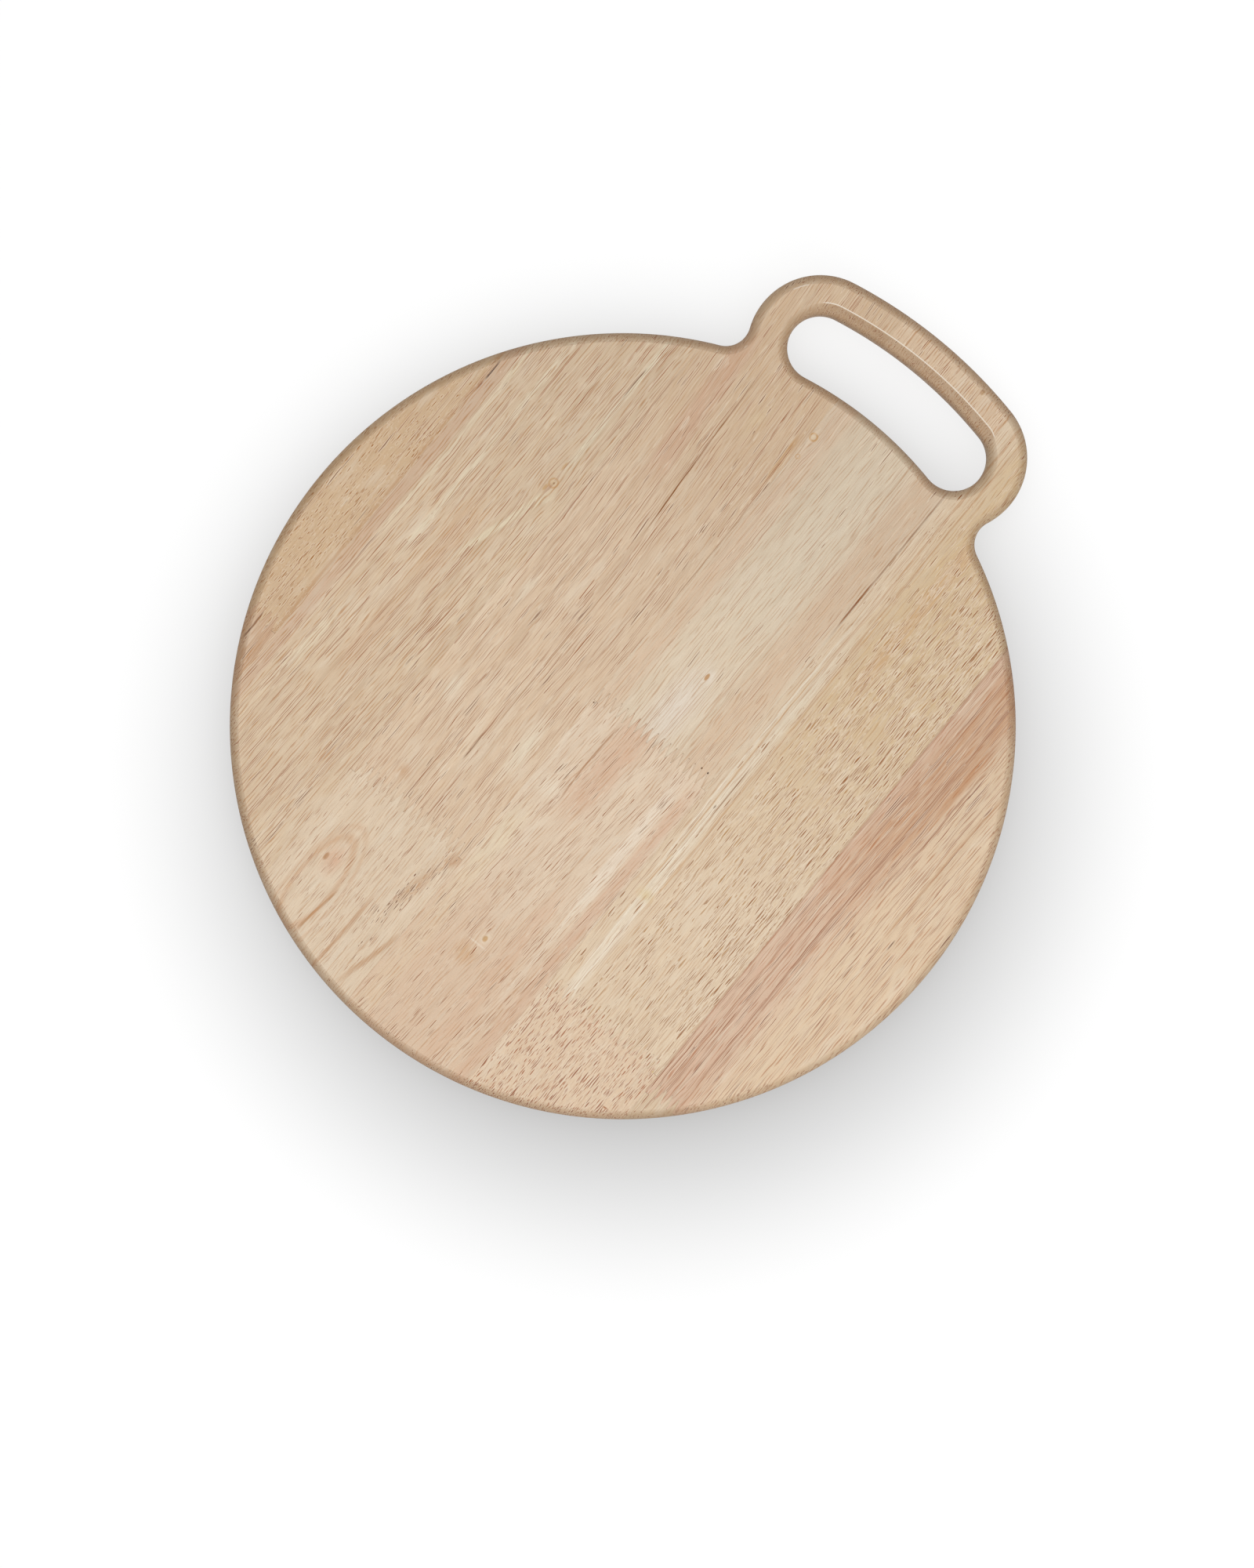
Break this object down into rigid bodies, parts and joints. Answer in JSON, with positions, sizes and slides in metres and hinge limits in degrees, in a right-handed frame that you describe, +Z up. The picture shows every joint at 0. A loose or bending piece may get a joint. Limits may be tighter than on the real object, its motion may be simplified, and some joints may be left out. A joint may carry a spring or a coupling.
{
  "type": "serving board",
  "caption": "Round wooden serving board with a curved loop handle, glued up from finger-jointed hardwood staves with rounded edges.",
  "frame": {"origin": "on the flat underside, at the centre of the round part of the board", "axes": "+Z up out of the serving face, +Y along the staves towards the handle, +X to the right"},
  "size_m": [0.38, 0.4315, 0.02],
  "materials": {
    "golden_wood": "sanded smooth, thin matte oil",
    "tan_wood": "sanded smooth, thin matte oil",
    "rose_wood": "sanded smooth, thin matte oil",
    "cream_wood": "sanded smooth, thin matte oil"
  },
  "bodies": {
    "root": {"stave_1_upper": "golden_wood", "stave_1_lower": "rose_wood", "stave_2": "tan_wood", "stave_3_upper": "rose_wood", "stave_3_lower": "cream_wood", "stave_4_upper": "cream_wood", "stave_4_lower": "rose_wood", "stave_4_grip": "cream_wood", "stave_5_upper": "cream_wood", "stave_5_lower": "tan_wood", "stave_6_upper": "golden_wood", "stave_6_lower": "cream_wood"}
  },
  "joints": []
}
